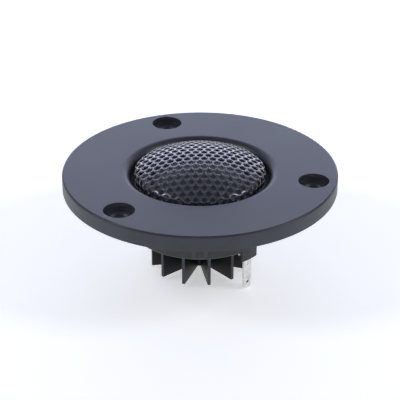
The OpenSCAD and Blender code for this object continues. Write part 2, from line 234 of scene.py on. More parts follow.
class Finish:
    """A procedural finish: one material, whose nodes are made as expressions ask for them."""

    # A Mix node's colour sockets, by their place in its lists of inputs and outputs.
    MIX_SHARE, MIX_FIRST, MIX_SECOND, MIX_RESULT = 0, 6, 7, 2

    def __init__(self, name, **sockets):
        self.material = bpy.data.materials.new(name)
        self.material.use_nodes = True
        self.tree = self.material.node_tree
        self.tree.nodes.clear()
        self.shader = self.tree.nodes.new("ShaderNodeBsdfPrincipled")
        output = self.tree.nodes.new("ShaderNodeOutputMaterial")
        self.tree.links.new(self.shader.outputs["BSDF"], output.inputs["Surface"])
        self.place = self.node("ShaderNodeTexCoord", out="Object")
        self.feed(**sockets)

    def node(self, kind, settings=None, inputs=None, out=0):
        """Adds a node with its settings, then its sockets' values or links. Returns one output."""
        made = self.tree.nodes.new(kind)
        for key, value in (settings or {}).items():
            setattr(made, key, value)
        for key, value in (inputs or {}).items():
            self.put(made.inputs[key], value)
        return Signal(self, made.outputs[out])

    def put(self, socket, value):
        if isinstance(value, Signal):
            self.tree.links.new(value.socket, socket)
        elif socket.type == "RGBA":
            socket.default_value = (*value, 1.0)
        else:
            socket.default_value = value

    def feed(self, **sockets):
        """Gives the shader's sockets values or links. Base_Color means the socket Base Color."""
        for name, value in sockets.items():
            self.put(self.shader.inputs[name.replace("_", " ")], value)
        return self

    def noise(self, size, detail=3.0, roughness=0.55, at=None):
        """Cloudy noise from 0 to 1 whose patches are about size metres across."""
        inputs = {
            "Vector": at or self.place,
            "Scale": 1.0 / size,
            "Detail": detail,
            "Roughness": roughness,
        }
        return self.node("ShaderNodeTexNoise", None, inputs)

    def grains(self, size):
        """Distance from the nearest of many scattered grains that are about size metres apart."""
        inputs = {"Vector": self.place, "Scale": 1.0 / size}
        return self.node("ShaderNodeTexVoronoi", {"feature": "F1"}, inputs)

    def axis(self, name):
        """One coordinate of the place, in metres."""
        inputs = {"Vector": self.place}
        return self.node("ShaderNodeSeparateXYZ", None, inputs, name)

    def radius(self):
        """Distance from the tweeter's axis, in metres."""
        x, y = self.axis("X"), self.axis("Y")
        return (x * x + y * y) ** 0.5

    def stretched(self, x, y, z):
        """The place with each axis made longer or shorter, for streaks and brushing."""
        settings = {"vector_type": "POINT"}
        inputs = {"Vector": self.place, "Scale": (x, y, z)}
        return self.node("ShaderNodeMapping", settings, inputs)

    def mixed(self, first, second, share):
        """A colour between two others: the first where share is 0, the second where it is 1."""
        inputs = {self.MIX_SHARE: share, self.MIX_FIRST: first, self.MIX_SECOND: second}
        return self.node("ShaderNodeMix", {"data_type": "RGBA"}, inputs, self.MIX_RESULT)

    def bump(self, height, depth, strength):
        """A normal from a height from 0 to 1 that stands for depth metres."""
        inputs = {"Height": height, "Distance": depth, "Strength": strength}
        return self.node("ShaderNodeBump", None, inputs)


def lighter(colour, times):
    return tuple(channel * times for channel in colour)


def moulded_plastic(name, colour, roughness, grain):
    """Moulded plastic with a fine spark-eroded texture, slight flow marks and handling marks."""
    finish = Finish(name, IOR=1.5)
    flow = finish.noise(9 * MM, 4.0)
    texture = finish.noise(grain, 2.0, 0.7)
    pits = finish.grains(1.6 * grain)
    scuffs = finish.noise(1.3 * MM, 6.0, 0.7).step(0.62, 0.75)
    return finish.feed(
        Base_Color=finish.mixed(colour, lighter(colour, 1.35), flow.step(0.3, 0.7)),
        Roughness=roughness + 0.1 * (flow - 0.5) - 0.05 * scuffs + 0.08 * texture,
        Normal=finish.bump(0.6 * texture + 0.4 * pits, 0.012 * MM, 0.55),
    ).material


def painted_mesh(name, colour, roughness):
    """Semi-gloss dark paint over pressed steel mesh, with painted shade over its trapped foot: near black,
    dull and not metallic, standing for the shadow in the throat.
    """
    finish = Finish(name, IOR=1.52, Coat_Roughness=0.12)
    orange_peel = finish.noise(0.35 * MM, 2.0)
    clouds = finish.noise(3 * MM, 3.0)
    worn = finish.noise(0.5 * MM, 4.0, 0.7).step(0.66, 0.74)
    # painted shade: from this radius out the foot is made near black, dull and without coat, standing for
    # the shadow in the throat
    shaded_foot = finish.radius().step(*SHADED_FOOT_R)
    drawn = finish.mixed(colour, lighter(colour, 1.6), clouds * 0.7 + worn * 0.3)
    return finish.feed(
        # the near-black colour mixed in here is painted shade over the foot
        Base_Color=finish.mixed(drawn, (0.01, 0.01, 0.011), shaded_foot),
        Metallic=0.75 - 0.75 * shaded_foot,
        Roughness=roughness + 0.12 * (clouds - 0.5) + 0.06 * orange_peel + 0.6 * shaded_foot,
        Coat_Weight=0.25 - 0.25 * shaded_foot,
        Normal=finish.bump(orange_peel, 0.01 * MM, 0.5),
    ).material


def anodised(name, colour, roughness):
    """Anodised extrusion: die lines along the fins, a bloom of thin dye, and a painted highlight that makes
    the fin tips paler.
    """
    finish = Finish(name, IOR=1.42)
    lines = finish.noise(0.22 * MM, 3.0, 0.6, finish.stretched(1.0, 1.0, 0.03))
    bloom = finish.noise(2.5 * MM, 4.0, 0.6)
    # painted highlight: the outermost fin tips are made paler, standing for the light they catch
    tip_highlight = finish.radius().step(12.85 * MM, 13.05 * MM)
    pale = (0.2 * bloom + 0.9 * tip_highlight).clamped()
    return finish.feed(
        Base_Color=finish.mixed(colour, lighter(colour, 4.5), pale),
        Metallic=0.5,
        Roughness=roughness + 0.15 * (bloom - 0.5) + 0.1 * (lines - 0.5),
        Normal=finish.bump(lines, 0.012 * MM, 0.6),
    ).material


def plated_metal(name, colour, roughness, streak=1.0):
    """Bright plated metal with fine rolling marks, cloudy dull patches and small scratches."""
    finish = Finish(name)
    rolled = finish.noise(0.18 * MM, 3.0, 0.6, finish.stretched(1.0, 1.0, streak))
    clouds = finish.noise(1.4 * MM, 4.0, 0.65)
    spots = finish.noise(0.35 * MM, 3.0, 0.7).step(0.64, 0.72)
    dull = (0.7 * clouds.step(0.35, 0.7) + 0.5 * spots).clamped()
    return finish.feed(
        Base_Color=finish.mixed(colour, lighter(colour, 0.72), dull),
        Metallic=1.0,
        Roughness=roughness + 0.16 * dull + 0.08 * (rolled - 0.5),
        Normal=finish.bump(0.7 * rolled + 0.3 * clouds, 0.01 * MM, 0.5),
    ).material


def woven_skin(name, colour, pitch, roughness):
    """Coated woven fabric: crossing threads under a thin tacky coat that pools in places."""
    finish = Finish(name, IOR=1.48, Sheen_Weight=0.15, Sheen_Roughness=0.4)
    turn = 2 * math.pi / pitch
    warp = (finish.axis("X") * turn).sine()
    weft = (finish.axis("Y") * turn).sine()
    threads = 0.5 + 0.25 * (warp + weft) + 0.25 * warp * weft
    pooled = finish.noise(1.8 * MM, 3.0).step(0.35, 0.7)
    return finish.feed(
        Base_Color=finish.mixed(colour, lighter(colour, 1.7), threads * 0.6 + pooled * 0.2),
        Roughness=roughness - 0.12 * pooled + 0.12 * threads,
        Normal=finish.bump(threads, 0.03 * MM, 0.8),
    ).material


def open_foam(name, colour):
    """Open-cell foam: paler walls, with painted shade that darkens the small cells between them."""
    finish = Finish(name, Roughness=0.95, Sheen_Weight=0.2)
    cells = finish.grains(0.35 * MM)
    fine = finish.noise(0.15 * MM, 3.0, 0.7)
    # painted shade: the colour is darkest in the cells' hollows, where the bump is lowest
    wall = cells * 0.8 + fine * 0.3
    return finish.feed(
        Base_Color=finish.mixed(lighter(colour, 0.4), lighter(colour, 1.5), wall),
        Normal=finish.bump(cells + 0.4 * fine, 0.08 * MM, 0.9),
    ).material


def pressed_felt(name, colour):
    """Pressed wool felt: tangled fibres with lighter hairs on top."""
    finish = Finish(name, Roughness=0.97, Sheen_Weight=0.5, Sheen_Roughness=0.6)
    tangle = finish.noise(0.2 * MM, 6.0, 0.75)
    hairs = finish.noise(0.5 * MM, 4.0, 0.8, finish.stretched(1.0, 0.25, 1.0)).step(0.55, 0.62)
    wool = 0.7 * tangle + 0.4 * hairs
    return finish.feed(
        Base_Color=finish.mixed(lighter(colour, 0.6), lighter(colour, 1.8), wool),
        Normal=finish.bump(tangle + 0.5 * hairs, 0.06 * MM, 0.9),
    ).material


def filled_silicone(name, colour):
    """Heat-conducting silicone pad: chalky, with ceramic specks and a faint glass-cloth weave."""
    finish = Finish(name, Roughness=0.75, IOR=1.42)
    turn = 2 * math.pi / (0.5 * MM)
    weave = (finish.axis("X") * turn).sine() * (finish.axis("Y") * turn).sine()
    specks = finish.grains(0.3 * MM)
    return finish.feed(
        Base_Color=finish.mixed(colour, lighter(colour, 1.35), specks),
        Normal=finish.bump(0.5 + 0.3 * weave + 0.2 * specks, 0.02 * MM, 0.7),
    ).material


def enamelled_winding(name, colour):
    """Enamelled copper wire, with drawing marks under a clear coat."""
    finish = Finish(name, IOR=1.55, Coat_Roughness=0.15)
    drawn = finish.noise(0.08 * MM, 2.0, 0.5, finish.stretched(0.2, 0.2, 1.0))
    clouds = finish.noise(0.8 * MM, 3.0)
    return finish.feed(
        Base_Color=finish.mixed(colour, lighter(colour, 0.6), clouds),
        Metallic=1.0,
        Roughness=0.28 + 0.12 * clouds,
        Coat_Weight=0.6,
        Normal=finish.bump(drawn, 0.006 * MM, 0.5),
    ).material


def polyimide_film(name, colour):
    """Amber film with a faint slit seam and glue haze."""
    finish = Finish(name, IOR=1.7, Coat_Roughness=0.1)
    haze = finish.noise(1.1 * MM, 4.0)
    return finish.feed(
        Base_Color=finish.mixed(colour, lighter(colour, 0.55), haze.step(0.3, 0.75)),
        Roughness=0.22 + 0.25 * haze,
        Coat_Weight=0.4,
        Normal=finish.bump(haze, 0.01 * MM, 0.4),
    ).material


def soldered(name, colour):
    """Solder: bright where it froze last, frosted and dimpled elsewhere, with a trace of flux."""
    finish = Finish(name)
    frost = finish.noise(0.4 * MM, 4.0, 0.7)
    flux = finish.noise(0.7 * MM, 2.0).step(0.6, 0.75)
    metal = finish.mixed(colour, lighter(colour, 0.7), frost)
    return finish.feed(
        Base_Color=finish.mixed(metal, (0.42, 0.3, 0.14), flux * 0.35),
        Metallic=1.0 - 0.3 * flux,
        Roughness=0.16 + 0.3 * frost,
        Normal=finish.bump(frost, 0.03 * MM, 0.6),
    ).material


def painted_floor(name, colour, glow):
    """A pale light table with a barely visible unevenness."""
    finish = Finish(name, Emission_Color=(1.0, 1.0, 1.0), Emission_Strength=glow)
    clouds = finish.noise(0.05, 3.0)
    return finish.feed(
        Base_Color=finish.mixed(colour, lighter(colour, 0.985), clouds),
        Roughness=0.85 + 0.08 * (clouds - 0.5),
    ).material


# ---------------------------------------------------------------- modelling


def deselect():
    if bpy.context.object and bpy.context.object.mode != "OBJECT":
        bpy.ops.object.mode_set(mode="OBJECT")
    bpy.ops.object.select_all(action="DESELECT")


def only(obj):
    """Makes obj the one selected object."""
    deselect()
    obj.select_set(True)
    bpy.context.view_layer.objects.active = obj


def edit(obj):
    """Opens obj in edit mode with everything selected."""
    only(obj)
    bpy.ops.object.mode_set(mode="EDIT")
    bpy.ops.mesh.select_mode(type="VERT")
    bpy.ops.mesh.select_all(action="SELECT")


def started(name):
    """Names the primitive that was just added and puts its place into its mesh."""
    obj = bpy.context.object
    obj.name = obj.data.name = name
    bpy.ops.object.transform_apply(location=True, rotation=True, scale=True)
    return obj


def edit_open_edges(obj):
    """Opens obj in edit mode with only the edges round its open end selected."""
    edit(obj)
    bpy.ops.mesh.select_all(action="DESELECT")
    bpy.ops.mesh.select_mode(type="EDGE")
    bpy.ops.mesh.select_non_manifold(extend=False)


def closed_up(obj):
    """Merges doubles and turns every face outwards."""
    edit(obj)
    bpy.ops.mesh.remove_doubles(threshold=WELD)
    bpy.ops.mesh.select_all(action="SELECT")
    bpy.ops.mesh.normals_make_consistent(inside=False)
    bpy.ops.object.mode_set(mode="OBJECT")


def applied(obj, kind, **settings):
    """Adds a modifier and applies it."""
    only(obj)
    modifier = obj.modifiers.new(kind.title(), kind)
    for key, value in settings.items():
        setattr(modifier, key, value)
    bpy.ops.object.modifier_apply(modifier=modifier.name)


def smoothed(obj, degrees=35):
    """Shades obj smooth, apart from edges that turn more than so many degrees."""
    only(obj)
    bpy.ops.object.shade_smooth_by_angle(angle=math.radians(degrees))


def pick_faces(obj, test):
    """Selects the faces of obj that pass test, in edit mode."""
    bpy.ops.mesh.select_mode(type="FACE")
    bpy.ops.mesh.select_all(action="DESELECT")
    mesh = bmesh.from_edit_mesh(obj.data)
    for face in mesh.faces:
        if test(face):
            face.select_set(True)
    bmesh.update_edit_mesh(obj.data)


def turned(name, outline, sides=ROUND_SIDES, closed=True):
    """A ring or cap round the axis.

    A circle at the outline's first point is extruded and resized through the rest. A point at
    radius 0 closes the cap.
    """
    deselect()
    r, z = outline[0]
    bpy.ops.mesh.primitive_circle_add(vertices=sides, radius=r, location=(0, 0, z))
    obj = started(name)
    edit(obj)
    for next_r, next_z in outline[1:] + (outline[:1] if closed else []):
        rise = (0, 0, next_z - z)
        bpy.ops.mesh.extrude_region_move(TRANSFORM_OT_translate={"value": rise})
        if next_r:
            grow = next_r / r
            bpy.ops.transform.resize(value=(grow, grow, 1), center_override=(0, 0, next_z))
        else:
            bpy.ops.mesh.merge(type="CENTER")
        r, z = next_r, next_z
    closed_up(obj)
    return obj


def arc(middle_r, middle_z, radius, first, last, steps):
    """Points of an arc in the plane of radius and height, between two angles in degrees."""
    turns = [math.radians(first + (last - first) * i / steps) for i in range(steps + 1)]
    return [(middle_r + radius * math.cos(t), middle_z + radius * math.sin(t)) for t in turns]


def eased(node, name, width):
    """A merged copy of a hard CAD node with its sharp edges eased, which stands for the node."""
    source = frame["nodes"][node]
    body = source["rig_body"]
    piece = bpy.data.objects.new(name, source.data.copy())
    piece.data.name = name
    bpy.context.scene.collection.objects.link(piece)
    edit(piece)
    bpy.ops.mesh.remove_doubles(threshold=WELD)
    bpy.ops.object.mode_set(mode="OBJECT")
    bpy.ops.mesh.customdata_custom_splitnormals_clear()
    applied(
        piece,
        "BEVEL",
        width=width,
        segments=2,
        limit_method="ANGLE",
        angle_limit=TRUE_EDGE,
        use_clamp_overlap=True,
        miter_outer="MITER_ARC",
    )
    smoothed(piece, 50)
    applied(piece, "WEIGHTED_NORMAL", keep_sharp=True)
    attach(piece, body)
    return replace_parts(piece, node)


def wired(name, route, diameter):
    """A round wire with closed ends, along a smooth curve through the route's points."""
    deselect()
    bpy.ops.curve.primitive_bezier_curve_add()
    wire = bpy.context.object
    bpy.ops.object.transform_apply(location=True, rotation=True, scale=True)
    points = wire.data.splines[0].bezier_points
    points.add(len(route) - len(points))
    for point, place in zip(points, route):
        point.co = place
        point.handle_left_type = point.handle_right_type = "AUTO"
    wire.data.resolution_u = 4
    wire.data.bevel_depth = diameter / 2
    wire.data.bevel_resolution = 3
    wire.data.use_fill_caps = True
    bpy.ops.object.convert(target="MESH")
    wire = started(name)
    closed_up(wire)
    smoothed(wire, 60)
    return wire


def round_the_axis(points, turn):
    """Points in millimetres, turned about the axis by turn degrees and put into metres."""
    spin = Matrix.Rotation(math.radians(turn), 4, "Z")
    return [spin @ Vector(point) * MM for point in points]


def coat(piece, material):
    """Puts one material all over a piece."""
    piece.data.materials.clear()
    piece.data.materials.append(material)


def dress(piece, material):
    """Gives a new piece its material."""
    coat(piece, material)


def away(turn, height):
    """One metre from the middle, turn round the axis and height above the level, in radians."""
    level = math.cos(height)
    return Vector((math.cos(turn) * level, math.sin(turn) * level, math.sin(height)))


def stood(name, data, place, aim):
    """Stands a light or a camera at place, turned to look at aim."""
    obj = bpy.data.objects.new(name, data)
    obj.location = place
    obj.rotation_euler = (aim - place).to_track_quat("-Z", "Y").to_euler()
    bpy.context.scene.collection.objects.link(obj)
    return obj


class FormedSheet:
    """Where a point of the flat punched sheet lands once it is pressed into dome and skirt."""

    def __init__(self, s):
        low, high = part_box("grille")
        self.turn = s.mesh_turn
        self.sheet = s.sheet
        self.foot_r, self.foot_z = high.x, low.z
        self.skirt_r, self.bend_r, self.dome_r = s.skirt_r, s.bend_r, s.dome_r
        self.dome_z = s.crown_z - s.dome_r
        self.bend_mid_r = s.skirt_r - s.bend_r
        self.bend_mid_z = self.dome_z + math.sqrt(
            (self.dome_r - self.bend_r) ** 2 - self.bend_mid_r**2
        )
        self.dome_edge_r = self.dome_r * self.bend_mid_r / (self.dome_r - self.bend_r)
        self.lean = math.acos(self.dome_edge_r / self.dome_r)
        self.bend_length = self.bend_r * self.lean
        self.foot_top = self.foot_z + self.sheet
        skirt_length = self.bend_mid_z - self.foot_top
        self.end = self.dome_edge_r + self.bend_length + skirt_length

    def formed(self, flat):
        out = min(math.hypot(flat.x, flat.y), self.end)
        turn = math.atan2(flat.y, flat.x) + self.turn
        past = out - self.dome_edge_r
        if past < 0:
            r, z = out, self.dome_z + math.sqrt(self.dome_r**2 - out**2)
        elif past < self.bend_length:
            tilt = self.lean - past / self.bend_r
            r = self.bend_mid_r + self.bend_r * math.cos(tilt)
            z = self.bend_mid_z + self.bend_r * math.sin(tilt)
        else:
            r, z = self.skirt_r, self.bend_mid_z - (past - self.bend_length)
        return Vector((r * math.cos(turn), r * math.sin(turn), z))

    def foot_outline(self):
        """The skirt's plain bottom band, and the flange that is trapped under the faceplate."""
        band_z = self.foot_top + BAND
        inside = self.skirt_r - self.sheet
        return [
            (inside, self.foot_z),
            (self.foot_r, self.foot_z),
            (self.foot_r, self.foot_top),
            (self.skirt_r, self.foot_top),
            (self.skirt_r, band_z),
            (inside, band_z),
        ]


# ---------------------------------------------------------------- settings


def length(name, description, millimetres):
    return bpy.props.FloatProperty(
        name=name, description=description, default=millimetres * MM, unit="LENGTH", precision=5
    )


def share(name, description, default):
    return bpy.props.FloatProperty(
        name=name, description=description, default=default, min=0.0, max=1.0, subtype="FACTOR"
    )


def number(name, description, default, unit="NONE"):
    return bpy.props.FloatProperty(name=name, description=description, default=default, unit=unit)


def angle(name, description, degrees):
    return bpy.props.FloatProperty(
        name=name, description=description, default=math.radians(degrees), unit="ROTATION"
    )


def tint(name, description, default):
    return bpy.props.FloatVectorProperty(
        name=name,
        description=description,
        default=default,
        size=3,
        min=0.0,
        max=1.0,
        subtype="COLOR",
    )


class FrontSettings(bpy.types.PropertyGroup):
    """The faceplate and its grille."""

    plate_colour: tint("Plate colour", "Colour of the faceplate's plastic", (0.025, 0.027, 0.036))
    plate_roughness: share("Plate roughness", "How dull the faceplate is", 0.40)
    grain: length("Grain", "Size of the plastic's moulded texture", 0.16)
    edge: length("Edge", "Width of the eased edges", 0.12)
    mesh_colour: tint("Mesh colour", "Colour of the grille's paint", (0.11, 0.11, 0.117))
    mesh_roughness: share("Mesh roughness", "How dull the grille's paint is", 0.2)
    mesh_pitch: length("Mesh pitch", "Distance between the grille's holes", 2.2)
    mesh_turn: angle("Mesh turn", "Turn of the rows of holes about the axis", -17.8)
    web: length("Web", "Width of the metal between two holes", 0.56)
    sheet: length("Sheet", "Thickness of the grille's sheet", 0.5)
    dome_r: length("Dome radius", "Radius of the grille's dome", 38.0)
    crown_z: length("Crown", "Height of the grille's crown in the row frame", 8.3)
    skirt_r: length("Skirt radius", "Outer radius of the grille's skirt", 17.2)
    bend_r: length("Bend radius", "Radius between the grille's dome and skirt", 0.6)


class DiaphragmSettings(bpy.types.PropertyGroup):
    """The dome, its surround and the voice coil."""

    fabric_colour: tint("Fabric colour", "Colour of the coated fabric", (0.045, 0.052, 0.085))
    fabric_roughness: share("Fabric roughness", "How dull the coated fabric is", 0.38)
    fabric_thickness: length("Fabric thickness", "Thickness of the dome and the surround", 0.2)
    thread: length("Thread pitch", "Distance between threads of the weave", 0.28)
    wire: length("Wire", "Diameter of the winding's wire", 0.13)
    copper: tint("Copper", "Colour of the enamelled wire", (0.72, 0.30, 0.13))
    film: tint("Film", "Colour of the coil former", (0.45, 0.20, 0.05))


class MotorSettings(bpy.types.PropertyGroup):
    """The pieces inside the housing."""

    steel: tint("Steel", "Colour of the zinc-plated steel", (0.62, 0.63, 0.64))
    steel_roughness: share("Steel roughness", "How dull the plated steel is", 0.3)
    steel_edge: length("Steel edge", "Width of the eased edges of the yoke and pole", 0.15)
    nickel: tint("Nickel", "Colour of the nickel-plated magnet", (0.66, 0.63, 0.58))
    nickel_roughness: share("Nickel roughness", "How dull the magnet's plating is", 0.2)
    magnet_edge: length("Magnet edge", "Width of the magnet's eased edges", 0.2)
    frame_edge: length("Frame edge", "Width of the eased edges of the diaphragm's frame", 0.12)
    felt: tint("Felt", "Colour of the damping felt", (0.055, 0.055, 0.06))
    foam: tint("Foam", "Colour of the foam gasket", (0.03, 0.03, 0.032))
    pad: tint("Pad", "Colour of the thermal pad", (0.33, 0.34, 0.36))


class RearSettings(bpy.types.PropertyGroup):
    """The housing, heatsink and terminals behind the faceplate."""

    case_colour: tint("Case colour", "Colour of the rear housing's plastic", (0.020, 0.020, 0.023))
    case_roughness: share("Case roughness", "How dull the rear housing is", 0.45)
    case_grain: length("Case grain", "Size of the rear plastic's moulded texture", 0.2)
    case_edge: length("Case edge", "Width of the eased edges of the housing", 0.14)
    fin_colour: tint("Fin colour", "Colour of the anodised heatsink", (0.015, 0.015, 0.017))
    fin_roughness: share("Fin roughness", "How dull the heatsink is", 0.45)
    fin_edge: length("Fin edge", "Width of the eased edges of the fins", 0.08)
    tin: tint("Tin", "Colour of the tinned terminals", (0.80, 0.80, 0.79))
    tin_roughness: share("Tin roughness", "How dull the tinned terminals are", 0.24)
    spade_edge: length("Spade edge", "Width of the eased edges of the terminals", 0.06)
    solder: tint("Solder", "Colour of the solder", (0.82, 0.82, 0.83))


class StudioSettings(bpy.types.PropertyGroup):
    """The floor, lights and camera."""

    floor: tint("Floor", "Colour of the floor", (0.9, 0.9, 0.9))
    glow: number("Floor glow", "Strength of the light table under the object", 0.5)
    sky: number("Sky", "Strength of the light from all round", 0.2)
    key: number("Key light", "Power of the large soft light, in watts", 1.25, "POWER")
    sides: number("Side lights", "Power of each side light, in watts", 0.7, "POWER")
    azimuth: angle("Azimuth", "Where the camera stands round the axis", -47.82)
    elevation: angle("Elevation", "How high the camera stands", 26.96)
    distance: length("Distance", "From the camera to the faceplate's front", 400.1)
    focal: number("Focal length", "Of the camera, in millimetres", 137.83, "CAMERA")


# ---------------------------------------------------------------- pieces


class TWEETER_OT_front(bpy.types.Operator):
    """Finish the faceplate and the grille"""

    bl_idname = "tweeter.front"
    bl_label = "Faceplate and grille"

    def execute(self, context):
        s = context.scene.tweeter_front
        plate = eased("faceplate", "faceplate_moulding", s.edge)
        plastic = moulded_plastic(
            "Faceplate plastic", tuple(s.plate_colour), s.plate_roughness, s.grain
        )
        dress(plate, plastic)
        paint = painted_mesh("Painted mesh", tuple(s.mesh_colour), s.mesh_roughness)
        mesh = self.make_mesh(s)
        dress(mesh, paint)
        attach(mesh, HOUSING)
        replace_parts(mesh, "grille")
        return {"FINISHED"}

    def make_mesh(self, s):
        """A punched sheet, pressed into its dome and skirt.

        One hexagonal cell is repeated both ways, trimmed, formed, and given its thickness.
        """
        pitch = s.mesh_pitch
        row = pitch * math.sqrt(3) / 2
        back = -(MESH_CELLS - 1) / 2
        deselect()
        bpy.ops.mesh.primitive_circle_add(
            vertices=6,
            radius=pitch / math.sqrt(3),
            fill_type="NGON",
            location=(back * 1.5 * pitch, back * row, 0),
        )
        mesh = started("grille_mesh")
        edit(mesh)
        bpy.ops.mesh.inset(thickness=s.web / 2)
        bpy.ops.mesh.delete(type="FACE")
        for step in ((pitch, 0, 0), (pitch / 2, row, 0)):
            applied(
                mesh,
                "ARRAY",
                count=MESH_CELLS,
                use_relative_offset=False,
                use_constant_offset=True,
                constant_offset_displace=step,
            )
        closed_up(mesh)
        sheet = FormedSheet(s)
        edit(mesh)
        pick_faces(mesh, lambda face: face.calc_center_median().length > sheet.end)
        bpy.ops.mesh.delete(type="FACE")
        bpy.ops.object.mode_set(mode="OBJECT")
        for vertex in mesh.data.vertices:
            vertex.co = sheet.formed(vertex.co)
        closed_up(mesh)
        if mesh.data.polygons[0].normal.z < 0:
            edit(mesh)
            bpy.ops.mesh.flip_normals()
        applied(mesh, "SOLIDIFY", thickness=s.sheet, offset=-1.0)
        applied(mesh, "SUBSURF", levels=1, render_levels=1)
        foot = turned("grille_foot", sheet.foot_outline())
        applied(foot, "BEVEL", width=FOOT_EDGE, segments=2, limit_method="ANGLE")
        only(mesh)
        foot.select_set(True)
        bpy.ops.object.join()
        smoothed(mesh, 60)
        return mesh


class TWEETER_OT_diaphragm(bpy.types.Operator):
    """Make the fabric dome and surround, and finish the voice coil"""

    bl_idname = "tweeter.diaphragm"
    bl_label = "Diaphragm"

    def execute(self, context):
        s = context.scene.tweeter_diaphragm
        skin = woven_skin("Coated fabric", tuple(s.fabric_colour), s.thread, s.fabric_roughness)
        self.make_dome(s, skin)
        self.make_surround(s, skin)
        former = frame["nodes"]["voice_coil_former"]
        coat(former, polyimide_film("Coil former film", tuple(s.film)))
        copper = enamelled_winding("Enamelled wire", tuple(s.copper))
        self.make_winding(s, copper)
        for side, turn in SIDES.items():
            self.make_lead(side, turn + LEAD_TURN, copper)
        return {"FINISHED"}

    def make_winding(self, s, copper):
        """The coil, each turn of its wire standing out as a ridge."""
        low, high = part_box("voice_coil_winding")
        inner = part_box("voice_coil_former")[1].x
        ridge_r = s.wire / 2
        ridges = round((high.z - low.z) / s.wire)
        climb = high.z - low.z - s.wire
        outline = [(inner, high.z), (inner, low.z)]
        for i in range(ridges):
            z = low.z + ridge_r + i * climb / (ridges - 1)
            outline += arc(high.x - ridge_r, z, ridge_r, -75.0, 75.0, 4)
        winding = turned("winding_turns", outline)
        smoothed(winding, 70)
        dress(winding, copper)
        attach(winding, DIAPHRAGM)
        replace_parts(winding, "voice_coil_winding")

    def make_lead(self, side, turn, copper):
        """The fine wire that flexes between the moving coil's former and the still tail wire."""
        lead = wired(f"flexing_wire_{side}", round_the_axis(LEAD_ROUTE, turn), LEAD_WIRE)
        dress(lead, copper)
        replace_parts(lead, f"coil_lead_{side}")
        still, moving = round_the_axis([LEAD_STILL, LEAD_MOVING], turn)
        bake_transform(lead, HOUSING, DIAPHRAGM, start=still, end=moving)

    def make_dome(self, s, skin):
        """A cap of a sphere, of thin formed fabric."""
        rise = APEX_Z - RIM_Z
        sphere_r = (RIM_R**2 + rise**2) / (2 * rise)
        low = math.degrees(math.acos(RIM_R / sphere_r))
        outline = arc(0.0, APEX_Z - sphere_r, sphere_r, low, 89.0, 26)
        dome = turned("dome_skin", outline + [(0.0, APEX_Z)], closed=False)
        applied(dome, "SOLIDIFY", thickness=s.fabric_thickness, offset=-1.0)
        smoothed(dome)
        dress(dome, skin)
        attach(dome, DIAPHRAGM)
        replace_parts(dome, "dome")

    def make_surround(self, s, skin):
        """A half roll round the dome, and the flat rim that is bonded to the frame.

        The roll's outer edge stays with the housing and its inner edge goes with the dome, by
        each point's radius.
        """
        inner, outer = RIM_R, STACK_R
        roll_r = ROLL_TOP_Z - RIM_Z
        middle = inner + 0.02 * MM + roll_r
        seat = RIM_Z
        rim_z = seat + 0.1 * MM
        outline = arc(middle, seat, roll_r, 180.0, 12.0, 24)
        outline += [
            (middle + roll_r + 0.1 * MM, seat + 0.12 * MM),
            (middle + roll_r + 0.325 * MM, rim_z),
            (middle + roll_r + 1.0 * MM, rim_z),
            (outer, rim_z),
        ]
        skirt = turned("surround_skin", outline, sides=120, closed=False)
        applied(skirt, "SOLIDIFY", thickness=s.fabric_thickness, offset=-1.0)
        smoothed(skirt)
        dress(skirt, skin)
        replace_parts(skirt, "surround")
        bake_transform(skirt, HOUSING, DIAPHRAGM, start=(middle + roll_r, 0, seat), end=(inner, 0, seat))
        follow = skirt.data.attributes["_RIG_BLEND"].data
        for vertex, weight in zip(skirt.data.vertices, follow):
            out = math.hypot(vertex.co.x, vertex.co.y)
            t = min(max((middle + roll_r - out) / (2 * roll_r), 0.0), 1.0)
            weight.value = t * t * (3 - 2 * t)


class TWEETER_OT_seals(bpy.types.Operator):
    """Make the foam gasket, the damping felt and the thermal pad"""

    bl_idname = "tweeter.seals"
    bl_label = "Gasket, felt and pad"

    def execute(self, context):
        s = context.scene.tweeter_motor
        self.soft_ring("gasket", open_foam("Gasket foam", tuple(s.foam)), "foam", 0.9)
        self.soft_disc("damping_felt", pressed_felt("Damping felt", tuple(s.felt)), "felt", 0.8)
        self.soft_disc("thermal_pad", filled_silicone("Thermal pad", tuple(s.pad)), "pad", 1.0)
        return {"FINISHED"}

    def outer_side(self, low, high):
        """The side of a cut soft sheet, from below up, with both its corners rounded."""
        ease = CORNER_SHARE * (high.z - low.z)
        lower = arc(high.x - ease, low.z + ease, ease, -90.0, 0.0, 4)
        return lower + arc(high.x - ease, high.z - ease, ease, 0.0, 90.0, 4)

    def soft_ring(self, node, material, slot, fill):
        low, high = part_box(node)
        ease = CORNER_SHARE * (high.z - low.z)
        outline = self.outer_side(low, high)
        outline += arc(GASKET_BORE_R + ease, high.z - ease, ease, 90.0, 180.0, 4)
        outline += arc(GASKET_BORE_R + ease, low.z + ease, ease, 180.0, 270.0, 4)
        self.finish_soft(turned(f"{node}_foam", outline), node, material, slot, fill)

    def soft_disc(self, node, material, slot, fill):
        low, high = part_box(node)
        outline = [(high.x * part, low.z) for part in reversed(FLAT_PART)]
        outline += self.outer_side(low, high)
        outline += [(high.x * part, high.z) for part in FLAT_PART]
        outline += [(0.0, high.z)]
        piece = turned(f"{node}_disc", outline, closed=False)
        edit_open_edges(piece)
        bpy.ops.mesh.extrude_region_move()
        bpy.ops.mesh.merge(type="CENTER")
        closed_up(piece)
        self.finish_soft(piece, node, material, slot, fill)

    def finish_soft(self, piece, node, material, slot, fill):
        smoothed(piece, 50)
        dress(piece, material)
        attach(piece, HOUSING)
        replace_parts(piece, node)


